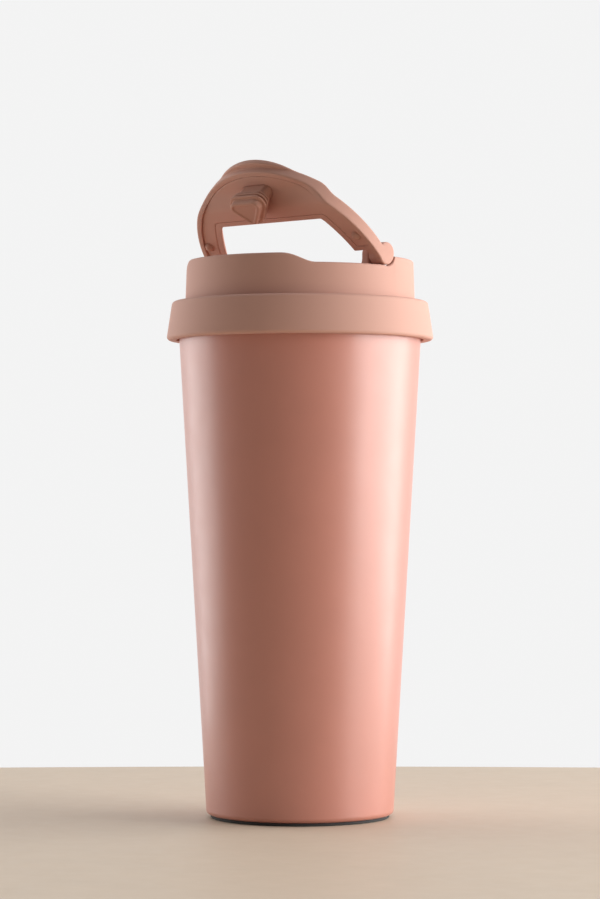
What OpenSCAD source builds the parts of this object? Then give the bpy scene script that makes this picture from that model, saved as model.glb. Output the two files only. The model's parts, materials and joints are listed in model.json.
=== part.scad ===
// Insulated steel tumbler with a screw lid, a sip opening and a half-round
// carry handle that flips up and carries the stopper.
// Millimetres. Origin: centre of the foot on the table, +Z up, -Y is the
// drinking side, X is the handle's hinge axis.

/* [Vessel] */
// Outer radius of the steel shell at the table plane
foot_r = 32.8; // [27:0.1:39.4]
// Outer radius of the steel shell at the mouth
mouth_r = 42.9; // [35.7:0.1:51.5]
// Height of the mouth above the table
mouth_z = 176; // [140:1:215]
// Sheet thickness of the outer shell
shell_wall = 0.5; // [0.4:0.1:0.8]
// Sheet thickness of the inner liner
liner_wall = 0.5; // [0.4:0.1:0.8]
// Vacuum space between shell and liner
vacuum_gap = 3.4; // [2:0.1:4.5]
// Vacuum space between shell and liner at the neck
neck_gap = 0.6; // [0.3:0.1:0.8]
// Depth of the straight neck that takes the lid plug
neck_depth = 22; // [20:0.5:30]
// Height of the slope from the neck to the body of the liner
shoulder_h = 5; // [3:0.5:8]
// Height of the liner floor above the table
floor_z = 9; // [7:0.5:16]
// Corner radius between the liner's floor and wall
floor_edge_r = 7; // [3:0.5:10]
// Height of the steel above the table
foot_lift = 1.1; // [0.8:0.1:2]
// Corner radius where the shell turns in under the foot
foot_edge_r = 1.8; // [1.2:0.1:3]
// Width of the turned-in edge under the foot
foot_flange = 3.2; // [2:0.1:5]
// Thickness of the liner's rolled lip at the mouth
lip_t = 0.9; // [0.6:0.1:1.4]

/* [Foot pad and vacuum parts] */
// How far the pad's edge stays inside the shell
pad_inset = 1.4; // [0.8:0.1:3]
// Thickness of the pressed bottom plate
bottom_t = 0.6; // [0.4:0.1:1]
// Radius of the evacuation hole in the bottom plate
seal_hole_r = 2; // [1.5:0.1:3]
// Radius of the getter capsule
getter_r = 5; // [3:0.1:6]
// Thickness of the radiation foil
foil_t = 0.1; // [0.05:0.05:0.3]

/* [Thread] */
// Number of thread starts
thread_starts = 3; // [2:1:4]
// Distance from one start to the next along the axis
thread_pitch = 4; // [3.4:0.1:5]
// Height of a thread ridge
thread_h = 1.1; // [0.8:0.1:1.4]
// Width of a thread ridge along the axis
thread_w = 1.3; // [1:0.1:1.4]
// Radial clearance between plug thread and neck
thread_clear = 0.3; // [0.25:0.05:0.5]

/* [Lid] */
// How far the collar hangs below the mouth
collar_drop = 8.5; // [6:0.5:12]
// Height of the collar
collar_h = 13.5; // [11:0.5:18]
// Wall of the collar at its lower edge
collar_wall = 3.4; // [2.4:0.1:5]
// How much narrower the collar is at its top edge
collar_draft = 1.7; // [0:0.1:2.2]
// Edge radius of the collar
collar_edge_r = 1.2; // [0.5:0.1:1.6]
// Gap between the collar and the vessel
collar_clear = 0.5; // [0.35:0.05:1]
// How far the rim is set in from the vessel's mouth radius
rim_inset = 2.6; // [2:0.1:5]
// Wall of the rim
rim_wall = 2.6; // [2:0.1:3.2]
// Height of the rim above the collar
rim_h = 14.2; // [12:0.2:20]
// How much the rim narrows from bottom to top
rim_draft = 0.4; // [0:0.1:1]
// Drop of the rim on both sides between hinge and drinking side
rim_step = 3.2; // [1:0.1:3.4]
// Where the rim starts to climb again, as an angle from the hinge axis
ramp_from = 40.5; // [35:0.5:45]
// Where the rim is back at its full height
ramp_to = 57.5; // [52:0.5:65]
// Depth of the deck below the rim's top
deck_drop = 7.4; // [5:0.1:8.9]
// Thickness of the deck
deck_t = 2.4; // [1.6:0.1:3]
// Height of the gasket between lid and mouth
gasket_h = 1.3; // [0.8:0.1:2]
// Depth of the plug below the mouth
plug_depth = 18; // [14:0.5:19.5]
// Wall of the plug
plug_wall = 1.8; // [1.2:0.1:2.5]
// Thickness of the insulating disc in the plug
insulation_t = 8; // [4:0.5:14]
// Distance of the vent from the lid's axis
vent_y = 24; // [18:0.5:26]
// Radius of the vent hole
vent_r = 1.6; // [1:0.1:2]

/* [Sip opening] */
// Half width of the sip opening
sip_half_w = 7.1; // [5:0.1:8.6]
// Length of the sip opening towards the hinge
sip_len = 10.8; // [7:0.1:13]
// Corner radius of the sip opening
sip_corner_r = 3; // [1.5:0.1:3.6]
// Distance from the rim's inner wall to the sip opening
sip_edge = 2.9; // [2.4:0.1:5]
// Wall of the sip channel
sip_wall = 1.2; // [0.8:0.1:1.6]

/* [Handle] */
// Angle by which the handle is raised, 0 is closed
handle_open = 46; // [0:1:160]
// Height of the hinge axis above the rim's top
hinge_rise = 0.8; // [0.6:0.1:1.2]
// Radius of the hinge boss
boss_r = 3.9; // [3.4:0.1:4.2]
// Width of the hinge boss along its axis
boss_w = 5.4; // [4.5:0.1:7]
// Gap between boss and the notch in the rim
boss_clear = 0.35; // [0.3:0.05:0.6]
// Height of the handle's top face above the hinge axis
handle_top = 3.5; // [3:0.1:5]
// Depth of the handle's underside below the hinge axis
handle_under = 3; // [2:0.1:3.2]
// Where the handle's top starts to step up, as an angle from the hinge axis
cap_from = 38.5; // [34:0.5:42]
// Where the handle's top reaches its full height
cap_to = 49.5; // [46:0.5:56]
// Gap between the closed handle and the rim
seat_clear = 0.3; // [0.25:0.05:0.6]
// Distance from the rim's outer face to the window along X, at its wide end
leg_w = 10.6; // [9.5:0.1:14]
// Slant of the window's sides
window_slant = 6.2; // [2:0.1:8]
// How far the window's sides bow outwards in their middle
window_bow = 0.7; // [0:0.1:1.2]
// Width of the handle between the finger window and the stopper
window_bridge = 4.5; // [3:0.1:6]
// Width of the border around the window
window_border = 2; // [1.2:0.1:2.6]
// Thickness of a leg's edge at the window
leg_edge = 0.5; // [0.4:0.1:1.2]
// Climb of the leg's inner side, away from the window, per mm
leg_climb = 0.7; // [0.5:0.05:1]
// Thickness of the handle's inner plate
plate_t = 1.2; // [0.8:0.1:1.6]
// How far the thumb tab stands out past the handle
tab_reach = 2.2; // [1:0.1:4]
// Half width of the thumb tab
tab_half_w = 16.4; // [10:0.1:20]
// Thickness of the thumb tab
tab_t = 2.2; // [1.2:0.1:2.8]
// How far the thumb tab rises above the handle's top face
tab_lift = 0.5; // [0:0.1:1]

/* [Hinge] */
// Radius of a hinge pin
pin_r = 1.5; // [1.2:0.05:1.8]
// Running clearance between pin and bush
pin_clear = 0.05; // [0.03:0.01:0.1]
// Wall of a hinge bush
bush_wall = 0.85; // [0.6:0.05:1]
// Thickness of a hinge ear
ear_t = 3; // [2.4:0.1:4.5]
// Thickness of a friction washer
washer_t = 0.6; // [0.4:0.1:1]
// Skin of the boss that hides the pin's end
boss_skin = 2; // [1.2:0.1:2.5]

/* [Stopper] */
// How deep the stopper reaches into the deck
stopper_dip = 2; // [1:0.1:2.2]
// Gap around the stopper's tip inside the sip opening
stopper_clear = 0.65; // [0.6:0.05:1.2]
// How far the stopper's sealing lip overlaps the deck
stopper_lip = 0.4; // [0.2:0.1:1]
// Depth of the pocket in the handle that holds the stopper's root
pocket_depth = 3.8; // [2:0.1:4.6]
// Gap round the stopper in its pocket
pocket_gap = 0.1; // [0.1:0.05:0.5]
// Height of the sealing lip
lip_h = 0.9; // [0.6:0.1:1.2]
// Gap between the sealing lip and the deck
lip_gap = 0.2; // [0.15:0.05:0.4]
// Wall of the silicone stopper around its core
stopper_wall = 1.5; // [1:0.1:2]
// Radius of a click nub
nub_r = 1.7; // [1:0.1:2.1]
// Distance of a click nub from the hinge axis
nub_v = 11; // [8:0.5:14]

/* [Hidden] */
$fn = 96;

small_fn = 48;          // smoothness of pins, bosses and small holes
arc_steps = 8;          // points along a rounded edge
ease_steps = 12;        // points along a soft step
overcut = 1;            // how far a cutter runs past a face
fit_gap = 0.01;         // gap of a pressed-in piece
loose_gap = 0.1;        // gap of a piece that is laid in

coral = "#C98A78";      // painted steel
rose = "#C08473";       // moulded lid and handle
rose_soft = "#B57866";  // silicone
steel = "#B9BBBD";
dark = "#2B2A2A";
copper = "#B87333";

taper = (mouth_r - foot_r) / mouth_z;
function shell_r(z) = foot_r + taper * z;

// Vessel stack
shell_top = mouth_z - lip_t;
plate_z = foot_lift + shell_wall;              // underside of the bottom plate
neck_z = mouth_z - neck_depth;
neck_r = shell_r(neck_z) - shell_wall - neck_gap - liner_wall;
shoulder_z = neck_z - shoulder_h;
liner_inset = shell_wall + vacuum_gap + liner_wall;
function liner_r(z) = shell_r(z) - liner_inset;

// Thread
thread_lead = thread_starts * thread_pitch;
plug_thread_r = neck_r - thread_clear;
plug_r = plug_thread_r - thread_h;
lug_r = plug_r + thread_clear;
thread_angle = 24;                             // arc of one thread segment
thread_segments = 3;                           // segments along one start
thread_rise = 4;                               // first ridge above the plug's end
thread_z = mouth_z - plug_depth + thread_rise;
lug_drop = 5.2;                                // centre of the liner's lugs below the mouth
lug_z = mouth_z - lug_drop;

// Lid stack
flange_z = mouth_z + gasket_h;                 // underside of the plug's flange
flange_t = 1.2;                                // thickness of the plug's flange
web_z = flange_z + flange_t;                   // underside of the collar's web
collar_z = mouth_z - collar_drop;
collar_top = collar_z + collar_h;
collar_in = mouth_r + collar_clear;
collar_out = collar_in + collar_wall;
rim_r = mouth_r - rim_inset;                   // outer radius at the rim's foot
rim_top_r = rim_r - rim_draft;
rim_in = rim_top_r - rim_wall;
rim_z = collar_top;
rim_top = rim_z + rim_h;
rim_low = rim_top - rim_step;
deck_z = rim_top - deck_drop;
deck_under = deck_z - deck_t;
plug_z = mouth_z - plug_depth;
plug_in = plug_r - plug_wall;
sip_y = rim_in - sip_edge;                     // outer edge of the sip opening

// Hinge
hinge_z = rim_top + hinge_rise;
boss_in = rim_top_r - boss_w;                  // inner face of the boss
ear_out = boss_in - washer_t - loose_gap;
ear_in = ear_out - ear_t;
ear_step = 1;                                  // how much smaller an ear is than a boss
ear_r = boss_r - ear_step;
pin_head = 0.5;                                // how much wider a pin's head is
pin_head_r = pin_r + pin_head;
pin_head_t = 0.9;
bush_r = pin_r + pin_clear + bush_wall;
washer_lap = 0.4;                              // how far a washer covers the boss
washer_r = bush_r + washer_lap;
bore_end = rim_top_r - boss_skin;              // blind end of the boss bore
leg_gap = 0.3;
leg_start = boss_r + leg_gap;                  // where the inboard part of a leg begins

// Handle, in its closed place: u along X, v towards the drinking side, w up
handle_inset = 0.2;                            // band inside the rim's outer face
handle_r = rim_top_r - handle_inset;
nest_clear = 0.6;
nest_r = rim_in - nest_clear;                  // part that drops inside the rim
nest_taper = 0.8;                              // how much that part narrows downwards
leg_under = rim_step + hinge_rise - seat_clear;   // depth of a leg's lower edge
seat_under = hinge_rise - seat_clear;             // same over the high rim
leg_top = 0.6;
leg_rise = 0.8;                                // climb of the leg's top to the step
window_wide = rim_top_r - leg_w;
window_narrow = window_wide - window_slant;
window_far = sip_y - sip_len - window_bridge;
ramp_start = rim_top_r * sin(ramp_from);       // rim step, seen from the side
ramp_end = rim_top_r * sin(ramp_to);
under_from = ramp_start - 1;                   // the handle's underside follows the rim
under_to = ramp_end - 0.5;
cap_start = rim_top_r * sin(cap_from);         // step up on the handle's top
cap_end = rim_top_r * sin(cap_to);
skirt_t = 2;                                   // wall of the band round the plate
plate_leg_r = handle_r - skirt_t;
nest_wall = 1.2;                               // wall of the nest round the plate
plate_mid_r = nest_r - nest_wall;
plate_w = -handle_under;
plate_blend_from = 26;                         // where the plate narrows, as an angle
plate_blend = 22;

// A soft step from 0 to 1
function ease(t) = (1 - cos(180 * t)) / 2;
// Points of a circular arc
function arc(cx, cy, r, a0, a1, n = arc_steps) =
    [for (i = [0 : n]) [cx + r * cos(a0 + (a1 - a0) * i / n),
                        cy + r * sin(a0 + (a1 - a0) * i / n)]];
// Points of a soft step between two places of an outline
function soft_step(x0, y0, x1, y1, n = ease_steps) =
    [for (i = [0 : n]) [x0 + (x1 - x0) * i / n, y0 + (y1 - y0) * ease(i / n)]];
// A triangle with round corners: flat side out, point towards the hinge
function sip_outline(grow = 0) =
    let (r = sip_corner_r + grow,
         half = sip_half_w - sip_corner_r,
         far = sip_y - sip_corner_r,
         near = sip_y - sip_len + sip_corner_r,
         turn = atan2(far - near, half))
    concat(arc(half, -far, r, -90, 90 - turn),
           arc(0, -near, r, 90 - turn, 90 + turn),
           arc(-half, -far, r, 90 + turn, 270));

// A prism along X from a profile drawn in (v, w), in the closed place
module side_prism(half) {
    rotate([90, 0, -90])
        translate([0, 0, -half])
            linear_extrude(2 * half) children();
}

// Puts a piece of the closed handle in its raised place
module raised() {
    translate([0, 0, hinge_z]) rotate([-handle_open, 0, 0]) children();
}

// Both sides of the lid
module both_sides() {
    children();
    mirror([1, 0, 0]) children();
}

// A cylinder along X from x0 to x1
module along_x(r, x0, x1, fn = small_fn) {
    translate([x0, 0, 0]) rotate([0, 90, 0]) cylinder(r = r, h = x1 - x0, $fn = fn);
}

// One short thread segment, tilted along the helix and centred on its angle
module thread_segment(angle, z, r0, r1) {
    tilt = atan(thread_lead / (2 * PI * r1));
    rotate([0, 0, angle])
        translate([0, 0, z])
            rotate([tilt, 0, 0])
                rotate([0, 0, -thread_angle / 2])
                    rotate_extrude(angle = thread_angle)
                        polygon([[r0, -thread_w / 2], [r1, -thread_w / 3],
                                 [r1, thread_w / 3], [r0, thread_w / 2]]);
}

// ---- vessel ----

module outer_shell() {
    edge_z = foot_lift + foot_edge_r;
    edge_x = shell_r(edge_z) - foot_edge_r;
    color(coral)
        rotate_extrude()
            polygon(concat(
                [[edge_x - foot_flange, foot_lift]],
                arc(edge_x, edge_z, foot_edge_r, -90, 0),
                [[shell_r(shell_top), shell_top],
                 [shell_r(shell_top) - shell_wall, shell_top]],
                arc(edge_x, edge_z, foot_edge_r - shell_wall, 0, -90),
                [[edge_x - foot_flange, foot_lift + shell_wall]]));
}

module inner_liner() {
    edge_z = floor_z + floor_edge_r;
    edge_x = liner_r(edge_z) - floor_edge_r;
    under_r = floor_edge_r + liner_wall;
    lip_r = 0.4;
    color(steel) {
        rotate_extrude()
            polygon(concat(
                [[0, floor_z - liner_wall]],
                arc(edge_x, edge_z, under_r, -90, 0),
                [[liner_r(shoulder_z) + liner_wall, shoulder_z],
                 [neck_r + liner_wall, neck_z],
                 [neck_r + liner_wall, shell_top],
                 [shell_r(mouth_z), shell_top]],
                arc(shell_r(mouth_z) - lip_r, mouth_z - lip_r, lip_r, 0, 90),
                arc(neck_r + lip_r, mouth_z - lip_r, lip_r, 90, 180),
                [[neck_r, neck_z], [liner_r(shoulder_z), shoulder_z]],
                arc(edge_x, edge_z, floor_edge_r, 0, -90),
                [[0, floor_z]]));
        for (i = [0 : thread_starts - 1])
            thread_segment(i * 360 / thread_starts, lug_z, neck_r + liner_wall / 2, lug_r);
    }
}

module bottom_plate() {
    color(steel)
        translate([0, 0, plate_z])
            difference() {
                cylinder(r = shell_r(plate_z) - foot_edge_r - loose_gap, h = bottom_t);
                translate([0, 0, -overcut])
                    cylinder(r = seal_hole_r, h = bottom_t + 2 * overcut, $fn = small_fn);
            }
}

module vacuum_seal() {
    color(steel) {
        translate([0, 0, plate_z])
            cylinder(r = seal_hole_r - fit_gap, h = bottom_t, $fn = small_fn);
        translate([0, 0, foot_lift])
            cylinder(r = 2 * seal_hole_r, h = shell_wall, $fn = small_fn);
    }
}

module getter() {
    getter_h = 1.5;
    color(dark)
        translate([foot_r / 2, 0, plate_z + bottom_t])
            cylinder(r = getter_r, h = getter_h, $fn = small_fn);
}

module radiation_foil() {
    z0 = floor_z + 2 * floor_edge_r;
    foil_stop = 4;
    z1 = shoulder_z - foil_stop;
    skin = liner_wall + loose_gap;
    color(copper)
        rotate_extrude()
            polygon([[liner_r(z0) + skin, z0], [liner_r(z0) + skin + foil_t, z0],
                     [liner_r(z1) + skin + foil_t, z1], [liner_r(z1) + skin, z1]]);
}

module foot_pad() {
    flange_in = shell_r(foot_lift + foot_edge_r) - foot_edge_r - foot_flange;
    edge = 0.4;
    recess = 0.3;                              // room round the vacuum seal
    pad_r = foot_r - pad_inset;
    color(dark)
        difference() {
            union() {
                cylinder(r1 = pad_r - edge, r2 = pad_r, h = edge);
                translate([0, 0, edge]) cylinder(r = pad_r, h = foot_lift - edge);
                cylinder(r = flange_in - loose_gap, h = plate_z);
            }
            translate([0, 0, foot_lift - fit_gap])
                cylinder(r = 2 * seal_hole_r + recess, h = shell_wall + overcut, $fn = small_fn);
        }
}

// ---- lid ----

module lid_gasket() {
    bead = gasket_h / 4;
    inset = 0.5;
    r_out = mouth_r - inset;
    r_in = plug_r + loose_gap;
    color(rose_soft)
        rotate_extrude()
            polygon([[r_in, mouth_z], [r_out - bead, mouth_z], [r_out, mouth_z + bead],
                     [r_out, flange_z - bead], [r_out - bead, flange_z], [r_in, flange_z]]);
}

module lid_collar() {
    r = collar_edge_r;
    low = 0.6;
    web_in = rim_in + 0.2;                     // inner edge of the collar's web
    top_r = collar_out - collar_draft;
    color(rose)
        rotate_extrude()
            polygon(concat(
                [[collar_in, collar_z + low], [collar_in + low, collar_z]],
                arc(collar_out - r, collar_z + r, r, -90, 0),
                arc(top_r - r, collar_top - r, r, 0, 90),
                [[web_in, collar_top], [web_in, web_z], [collar_in, web_z]]));
}

// Seen from the side: what is cut away to lower the rim beside the hinge
module rim_lowering() {
    side_prism(rim_r + overcut)
        polygon(concat([[0, rim_low]],
                       soft_step(ramp_start, rim_low, ramp_end, rim_top),
                       [[ramp_end, rim_top + overcut], [0, rim_top + overcut]]));
}

// Hinge ear on the deck, with a foot that widens in soft curves
module hinge_ear() {
    flare = 2.6;
    foot_w = ear_r + flare;
    foot_h = hinge_z - deck_z - ear_r;
    translate([ear_in, 0, 0]) {
        translate([0, 0, hinge_z]) along_x(ear_r, 0, ear_t);
        translate([0, -ear_r, deck_z - fit_gap]) cube([ear_t, 2 * ear_r, hinge_z - deck_z]);
        rotate([90, 0, 90])
            linear_extrude(ear_t)
                polygon(concat([[-foot_w, deck_z - fit_gap]],
                               soft_step(-foot_w, deck_z, -ear_r, deck_z + foot_h),
                               soft_step(ear_r, deck_z + foot_h, foot_w, deck_z),
                               [[foot_w, deck_z - fit_gap]]));
    }
}

module lid_rim() {
    r = 0.5;
    deck_lap = 0.5;                            // how far the deck runs into the rim
    color(rose)
        difference() {
            union() {
                difference() {
                    rotate_extrude()
                        polygon(concat(
                            [[rim_in, rim_z], [rim_r, rim_z]],
                            arc(rim_top_r - r, rim_top - r, r, 0, 90),
                            arc(rim_in + r, rim_top - r, r, 90, 180)));
                    rim_lowering();
                    translate([0, 0, hinge_z]) {
                        along_x(boss_r + boss_clear, boss_in - overcut, rim_r + overcut);
                        along_x(boss_r + boss_clear, -rim_r - overcut, overcut - boss_in);
                    }
                }
                translate([0, 0, deck_under]) cylinder(r = rim_in + deck_lap, h = deck_t);
                both_sides() hinge_ear();
            }
            translate([0, 0, deck_under - overcut])
                linear_extrude(deck_t + 2 * overcut) polygon(sip_outline());
            translate([0, vent_y, deck_under - overcut])
                cylinder(r = vent_r, h = deck_t + 2 * overcut, $fn = small_fn);
            translate([0, 0, hinge_z]) {
                along_x(pin_r + fit_gap, ear_in - overcut, ear_out + overcut);
                along_x(pin_r + fit_gap, -ear_out - overcut, overcut - ear_in);
                along_x(pin_head_r + fit_gap, ear_in - overcut, ear_in + pin_head_t);
                along_x(pin_head_r + fit_gap, -ear_in - pin_head_t, overcut - ear_in);
            }
        }
}

module lid_plug() {
    tube_h = deck_under - plug_z;
    flange_r = collar_in - collar_clear;
    color(rose_soft)
        difference() {
            union() {
                difference() {
                    union() {
                        translate([0, 0, plug_z]) cylinder(r = plug_r, h = web_z - plug_z);
                        translate([0, 0, flange_z]) cylinder(r = flange_r, h = flange_t);
                    }
                    translate([0, 0, plug_z + plug_wall])
                        cylinder(r = plug_in, h = web_z - plug_z);
                }
                translate([0, 0, plug_z])
                    linear_extrude(tube_h) polygon(sip_outline(sip_wall));
                translate([0, vent_y, plug_z])
                    cylinder(r = vent_r + sip_wall, h = tube_h, $fn = small_fn);
                for (i = [0 : thread_starts - 1], k = [0 : thread_segments - 1]) {
                    spread = 360 / thread_starts / thread_segments;
                    a = (i + 0.5) * 360 / thread_starts + k * spread;
                    thread_segment(a, thread_z + k * spread * thread_lead / 360,
                                   plug_r - plug_wall / 2, plug_thread_r);
                }
            }
            translate([0, 0, plug_z - overcut])
                linear_extrude(tube_h + 2 * overcut) polygon(sip_outline());
            translate([0, vent_y, plug_z - overcut])
                cylinder(r = vent_r, h = tube_h + 2 * overcut, $fn = small_fn);
        }
}

module lid_insulation() {
    z0 = plug_z + plug_wall;
    h = insulation_t;
    gap = 0.3;
    color("white")
        translate([0, 0, z0])
            difference() {
                cylinder(r = plug_in - gap, h = h);
                translate([0, 0, -overcut]) {
                    linear_extrude(h + 2 * overcut) polygon(sip_outline(sip_wall + gap));
                    translate([0, vent_y, 0])
                        cylinder(r = vent_r + sip_wall + gap, h = h + 2 * overcut, $fn = small_fn);
                }
            }
}

module vent_valve() {
    cap_r = vent_r + 1.8;
    cap_h = 0.8;
    stem_gap = 0.05;
    color(rose_soft)
        translate([0, vent_y, 0]) {
            translate([0, 0, deck_z]) cylinder(r1 = cap_r, r2 = cap_r - cap_h, h = cap_h, $fn = small_fn);
            translate([0, 0, deck_under]) cylinder(r = vent_r - stem_gap, h = deck_t, $fn = small_fn);
        }
}

module hinge_pin() {
    end_gap = 0.2;
    color(steel)
        translate([0, 0, hinge_z]) {
            along_x(pin_r, ear_in, bore_end - end_gap);
            along_x(pin_head_r, ear_in, ear_in + pin_head_t);
        }
}

module hinge_pin_right() { hinge_pin(); }
module hinge_pin_left() { mirror([1, 0, 0]) hinge_pin(); }

// ---- handle ----

// Outline of the handle seen from above: a half disc from the hinge forward
module half_disc(r, v0) {
    intersection() {
        circle(r);
        translate([-2 * r, -2 * r]) square([4 * r, 2 * r - v0]);
    }
}

// Outline of the finger window, open towards the hinge
module window_outline(grow = 0) {
    corner = 1.2;
    far = window_far + grow;
    slope = window_slant / (window_far - leg_start);
    narrow = window_narrow + grow;
    wide = narrow + slope * (far + overcut);
    turn = atan(slope);
    bow_steps = 8;
    // points of the bowed right side, from the end of the far corner to the hinge
    first = far - corner * (1 + sin(turn));
    side = [for (i = [1 : bow_steps - 1])
        let (v = first - (first - leg_start) * i / bow_steps, t = (far - v) / (far - leg_start))
        [narrow + slope * (far - v) + 4 * window_bow * t * (1 - t), -v]];
    polygon(concat(
        [[-wide, overcut], [-wide + slope * (leg_start + overcut), -leg_start]],
        [for (i = [1 : bow_steps - 1]) [-side[bow_steps - 1 - i].x, side[bow_steps - 1 - i].y]],
        arc(-narrow - slope * corner + corner, -far + corner, corner, 180 - turn, 270),
        arc(narrow + slope * corner - corner, -far + corner, corner, 270, 360 + turn),
        side,
        [[wide - slope * (leg_start + overcut), -leg_start], [wide, overcut]]));
}

// Outline of the inner plate: wide over the legs, narrower over the rim
module plate_outline(grow = 0) {
    steps = 48;
    side = asin((leg_start + window_border - grow) / (plate_leg_r + grow));
    function edge_r(a) =
        let (m = min(a, 180 - a))
        plate_leg_r + grow - (plate_leg_r - plate_mid_r)
            * ease(max(0, min(1, (m - plate_blend_from) / plate_blend)));
    difference() {
        polygon([for (i = [0 : steps])
            let (a = side + (180 - 2 * side) * i / steps)
            [edge_r(a) * cos(a), -edge_r(a) * sin(a)]]);
        window_outline(window_border - grow);
    }
}

// Seen from the side: top and bottom of the handle
module handle_profile(under_leg, reach) {
    polygon(concat(
        [[0, -under_leg]],
        soft_step(under_from, -under_leg, under_to, -seat_under),
        [[reach, -seat_under], [reach, handle_top]],
        soft_step(cap_end, handle_top, cap_start, leg_top + leg_rise),
        [[leg_start, leg_top], [0, leg_top]]));
}

// Seen from the side: a sheet that follows the underside, or all that is below it
module plate_profile(depth = 0) {
    top_leg = plate_t - handle_under;
    top_mid = plate_t - seat_under;
    polygon(concat(
        [[0, -handle_under - depth]],
        soft_step(under_from, -handle_under - depth, under_to, -seat_under - depth),
        [[handle_r, -seat_under - depth], [handle_r, top_mid]],
        soft_step(under_to, top_mid, under_from, top_leg),
        [[0, top_leg]]));
}

module handle_body() {
    reach = handle_r + tab_reach + overcut;
    slab = 4 * handle_top;
    // outer band that follows the rim
    intersection() {
        side_prism(handle_r + overcut) handle_profile(leg_under, reach);
        translate([0, 0, -slab / 2]) linear_extrude(slab) half_disc(handle_r, 0);
    }
    // part that drops inside the rim
    intersection() {
        side_prism(handle_r + overcut) handle_profile(handle_under, reach);
        translate([0, 0, -handle_under]) {
            cylinder(r1 = nest_r - nest_taper, r2 = nest_r, h = handle_under);
        }
    }
    // thumb tab, a flatter arc that stands out past the band
    tab_v = handle_r + tab_reach;
    root_v = sqrt(handle_r * handle_r - tab_half_w * tab_half_w);
    rise = tab_v - root_v;
    tab_r = (tab_half_w * tab_half_w + rise * rise) / (2 * rise);
    intersection() {
        translate([0, tab_r - tab_v, handle_top + tab_lift - tab_t])
            cylinder(r = tab_r, h = tab_t);
        translate([-tab_half_w, -tab_v - overcut, 0])
            cube([2 * tab_half_w, tab_v - root_v + 2 * overcut, 2 * handle_top]);
    }
    // bosses, flush with the band
    intersection() {
        along_x(boss_r, -handle_r - overcut, handle_r + overcut);
        translate([0, 0, -boss_r]) cylinder(r = handle_r, h = 2 * boss_r);
    }
}

// Everything on the window's side of a plane that leans out over a leg
module crown_side(low, high) {
    reach = 2 * handle_r;
    turn = atan(window_slant / (window_far - leg_start));
    translate([window_narrow, -window_far, 0])
        rotate([0, 0, -turn]) rotate([90, 0, 0]) translate([0, 0, -reach])
            linear_extrude(2 * reach)
                polygon([[-reach, low], [0, low], [(high - low) / leg_climb, high],
                         [-reach, high]]);
}

// What is cut away above the window: its sides lean outwards
module window_crown() {
    low = leg_edge - leg_under;
    high = handle_top + overcut;
    far_climb = 4;
    intersection() {
        crown_side(low, high);
        mirror([1, 0, 0]) crown_side(low, high);
        side_prism(handle_r)
            polygon([[leg_start, low], [window_far, low],
                     [window_far + (high - low) / far_climb, high], [leg_start, high]]);
    }
}

module handle_shell() {
    slab = 4 * handle_top;
    bore = bush_r + fit_gap;
    color(rose)
        raised()
            difference() {
                handle_body();
                // finger window and the free space between the ears
                translate([0, 0, -slab / 2]) linear_extrude(slab) window_outline();
                window_crown();
                translate([-boss_in, -leg_start, -slab / 2])
                    cube([2 * boss_in, leg_start + boss_r + overcut, slab]);
                // seat of the inner plate
                intersection() {
                    side_prism(handle_r) plate_profile(leg_under);
                    translate([0, 0, -slab / 2]) linear_extrude(slab) plate_outline(loose_gap);
                }
                stopper_pocket();
                along_x(bore, boss_in - overcut, bore_end);
                along_x(bore, -bore_end, overcut - boss_in);
            }
}

module handle_plate() {
    color(rose)
        raised()
            difference() {
                intersection() {
                    side_prism(handle_r) plate_profile();
                    translate([0, 0, -leg_under]) linear_extrude(2 * leg_under) plate_outline();
                }
                stopper_pocket();
            }
}

module hinge_bush() {
    color(dark)
        raised()
            difference() {
                along_x(bush_r, boss_in, bore_end);
                along_x(pin_r + pin_clear, boss_in - overcut, bore_end + overcut);
            }
}

module hinge_bush_right() { hinge_bush(); }
module hinge_bush_left() { mirror([1, 0, 0]) hinge_bush(); }

module friction_washer() {
    color(dark)
        raised()
            difference() {
                along_x(washer_r, boss_in - washer_t, boss_in);
                along_x(pin_r + pin_clear, boss_in - washer_t - overcut, boss_in + overcut);
            }
}

module friction_washer_right() { friction_washer(); }
module friction_washer_left() { mirror([1, 0, 0]) friction_washer(); }

// ---- stopper ----

deck_w = deck_z - hinge_z;                     // the deck, seen from the hinge
tip_w = deck_w - stopper_dip;
pocket_w = plate_w + pocket_depth;
core_reach = 3.4;                              // how far the core stands out of the plate
core_h = core_reach + pocket_depth;
// The widest circle in the sip opening's outline
sip_half = sip_half_w - sip_corner_r;
sip_tall = sip_len - 2 * sip_corner_r;
sip_in_r = sip_half * sip_tall / (sip_half + norm([sip_half, sip_tall]));
core_y = sip_in_r + sip_corner_r - sip_y;
core_r = sip_in_r + sip_corner_r - stopper_clear - stopper_wall;

// A slab with the sip opening's outline
module sip_slab(grow, w0, w1) {
    translate([0, 0, w0]) linear_extrude(w1 - w0) polygon(sip_outline(grow));
}

// The pocket that holds the stopper's root
module stopper_pocket() {
    sip_slab(pocket_gap - stopper_clear, plate_w - overcut, pocket_w);
}

module stopper() {
    neck_w = deck_w + lip_gap;
    rib = 0.3;
    rib_h = 0.8;
    rib_w = neck_w + lip_h + 0.7;              // underside of the rib above the lip
    color(rose_soft)
        raised()
            difference() {
                union() {
                    sip_slab(-stopper_clear, tip_w, pocket_w);
                    sip_slab(stopper_lip, neck_w, neck_w + lip_h);
                    sip_slab(rib, rib_w, rib_w + rib_h);
                }
                translate([0, core_y, pocket_w - core_h])
                    cylinder(r = core_r + loose_gap / 2, h = core_h + overcut, $fn = small_fn);
            }
}

module stopper_core() {
    color(rose)
        raised()
            translate([0, core_y, pocket_w - core_h])
                cylinder(r = core_r, h = core_h, $fn = small_fn);
}

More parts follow.
